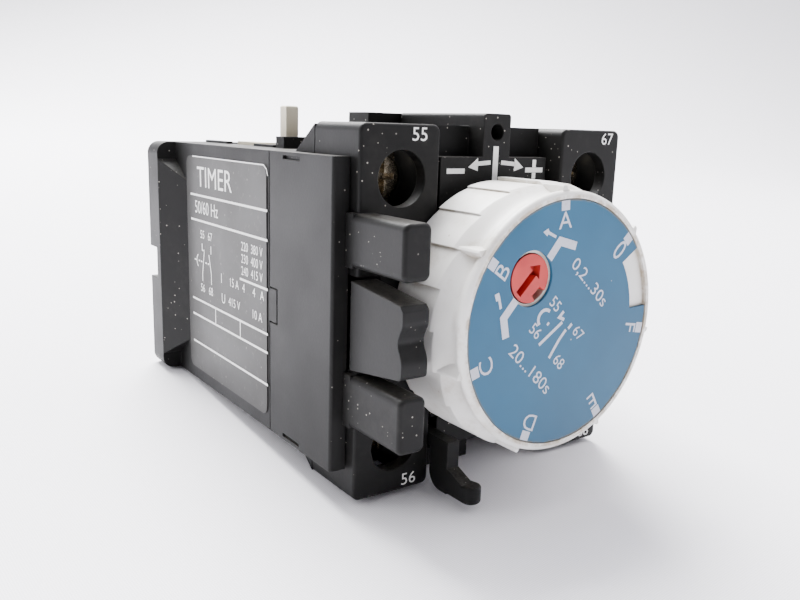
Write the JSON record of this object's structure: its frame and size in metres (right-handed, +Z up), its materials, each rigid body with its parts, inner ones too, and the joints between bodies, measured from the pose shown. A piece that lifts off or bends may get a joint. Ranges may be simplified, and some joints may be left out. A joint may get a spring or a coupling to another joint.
{
  "type": "pneumatic timer block",
  "caption": "Front-mounted timer block: black housing, screw terminals with driver holes, large off-white knob with a blue dial, release lever and bottom latch.",
  "frame": {"origin": "middle of the flat mounting face at the back, which lies against the contactor", "axes": "+Y from the knob to the mounting face, out of its back; +X to the right seen from the front; +Z up"},
  "size_m": [0.0564, 0.0728, 0.0501],
  "materials": {
    "black_plastic": "satin moulded black plastic with a fine grain",
    "cover_plastic": "satin moulded black plastic, slightly worn",
    "lever_plastic": "smooth black plastic, rubbed at the edges",
    "knob_plastic": "off-white plastic with dust in the grooves",
    "dial_blue": "blue printed disc with white marks",
    "selector_red": "red plastic",
    "beige_plastic": "beige plastic",
    "inner_plastic": "dark grey plastic",
    "label_paper": "thin printed black foil",
    "steel": "plain steel",
    "zinc_steel": "zinc-plated steel",
    "brass": "plain brass",
    "soft_rubber": "soft black rubber",
    "felt": "pressed felt"
  },
  "bodies": {
    "base": {"front_plate": "black_plastic", "terminal_block_left": "black_plastic", "terminal_block_right": "black_plastic", "middle_housing": "black_plastic", "side_cover": "cover_plastic", "rear_housing": "black_plastic", "rating_label": "label_paper", "seal_ring": "soft_rubber", "timing_base": "inner_plastic", "filter_ring": "felt", "bellows": "soft_rubber", "bellows_spring": "steel", "contact_strap_55": "brass", "contact_strap_56": "brass", "contact_strap_67": "brass", "contact_strap_68": "brass", "lever_pin": "steel", "trip_pin": "steel", "latch_pin": "steel", "latch_leaf": "steel", "lever_spring": "steel", "return_spring": "steel"},
    "knob": {"knob": "knob_plastic", "dial_disc": "dial_blue", "knob_shaft": "steel", "shaft_clip": "steel", "throttle_disc": "brass"},
    "selector": {"range_selector": "selector_red", "range_cam": "inner_plastic"},
    "actuator": {"actuator": "beige_plastic"},
    "bellows_plate": {"bellows_plate": "inner_plastic"},
    "trip_lever": {"trip_lever": "inner_plastic"},
    "contact_carrier": {"contact_carrier": "inner_plastic", "contact_springs": "steel", "bridge_opening": "brass", "bridge_closing": "brass"},
    "release_lever": {"release_lever": "lever_plastic"},
    "latch": {"latch_rocker": "lever_plastic"},
    "clamp_55": {"clamp_washer_55": "zinc_steel"},
    "screw_55": {"terminal_screw_55": "zinc_steel"},
    "clamp_56": {"clamp_washer_56": "zinc_steel"},
    "screw_56": {"terminal_screw_56": "zinc_steel"},
    "clamp_67": {"clamp_washer_67": "zinc_steel"},
    "screw_67": {"terminal_screw_67": "zinc_steel"},
    "clamp_68": {"clamp_washer_68": "zinc_steel"},
    "screw_68": {"terminal_screw_68": "zinc_steel"}
  },
  "joints": [
    {"name": "knob_turn", "type": "hinge", "parent": "base", "child": "knob", "pos_m": [0, -0.0728, 0], "axis": [0, 1, 0], "range_deg": [-47.1, 261.4]},
    {"name": "selector_turn", "type": "hinge", "parent": "knob", "child": "selector", "pos_m": [-0.006, -0.0724, 0.00615], "axis": [0, 1, 0], "range_deg": [0, 180]},
    {"name": "actuator_slide", "type": "slide", "parent": "base", "child": "actuator", "axis": [0, 1, 0], "range_m": [0, 0.0055], "stiffness_N_per_m": 250, "springref_m": -0.004, "deforming": ["return_spring"]},
    {"name": "bellows_slide", "type": "slide", "parent": "base", "child": "bellows_plate", "axis": [0, 1, 0], "range_m": [0, 0.0055], "deforming": ["bellows", "bellows_spring"]},
    {"name": "trip_lever_turn", "type": "hinge", "parent": "base", "child": "trip_lever", "pos_m": [0, -0.022, -0.012], "axis": [-1, 0, 0], "range_deg": [0, 24]},
    {"name": "contact_slide", "type": "slide", "parent": "base", "child": "contact_carrier", "axis": [0, 1, 0], "range_m": [0, 0.0023]},
    {"name": "release_lever_turn", "type": "hinge", "parent": "base", "child": "release_lever", "pos_m": [-0.0204, -0.038, -0.0005], "axis": [0, 0, -1], "range_deg": [0, 3.3], "stiffness_Nm_per_rad": 0.3, "springref_deg": -5.73, "deforming": ["lever_spring"]},
    {"name": "latch_turn", "type": "hinge", "parent": "base", "child": "latch", "pos_m": [-0.00945, -0.03, -0.0155], "axis": [-1, 0, 0], "range_deg": [0, 2], "stiffness_Nm_per_rad": 0.1, "springref_deg": -5.73, "deforming": ["latch_leaf"]},
    {"name": "clamp_slide_55", "type": "slide", "parent": "base", "child": "clamp_55", "axis": [0, 1, 0], "range_m": [-0.0024, 0]},
    {"name": "screw_turn_55", "type": "hinge", "parent": "clamp_55", "child": "screw_55", "pos_m": [-0.0164, -0.053, 0.0172], "axis": [0, 1, 0], "range_deg": [-1440, 0]},
    {"name": "clamp_slide_56", "type": "slide", "parent": "base", "child": "clamp_56", "axis": [0, 1, 0], "range_m": [-0.0024, 0]},
    {"name": "screw_turn_56", "type": "hinge", "parent": "clamp_56", "child": "screw_56", "pos_m": [-0.0164, -0.053, -0.0172], "axis": [0, 1, 0], "range_deg": [-1440, 0]},
    {"name": "clamp_slide_67", "type": "slide", "parent": "base", "child": "clamp_67", "axis": [0, 1, 0], "range_m": [-0.0024, 0]},
    {"name": "screw_turn_67", "type": "hinge", "parent": "clamp_67", "child": "screw_67", "pos_m": [0.0164, -0.053, 0.0172], "axis": [0, 1, 0], "range_deg": [-1440, 0]},
    {"name": "clamp_slide_68", "type": "slide", "parent": "base", "child": "clamp_68", "axis": [0, 1, 0], "range_m": [-0.0024, 0]},
    {"name": "screw_turn_68", "type": "hinge", "parent": "clamp_68", "child": "screw_68", "pos_m": [0.0164, -0.053, -0.0172], "axis": [0, 1, 0], "range_deg": [-1440, 0]}
  ],
  "couplings": [
    {"joint": "bellows_slide", "follows": "actuator_slide", "ratio": 1},
    {"joint": "trip_lever_turn", "follows": "actuator_slide", "rad_per_m": 76.159},
    {"joint": "contact_slide", "follows": "actuator_slide", "ratio": 0.41818},
    {"joint": "screw_turn_55", "follows": "clamp_slide_55", "rad_per_m": 10472},
    {"joint": "screw_turn_56", "follows": "clamp_slide_56", "rad_per_m": 10472},
    {"joint": "screw_turn_67", "follows": "clamp_slide_67", "rad_per_m": 10472},
    {"joint": "screw_turn_68", "follows": "clamp_slide_68", "rad_per_m": 10472}
  ]
}
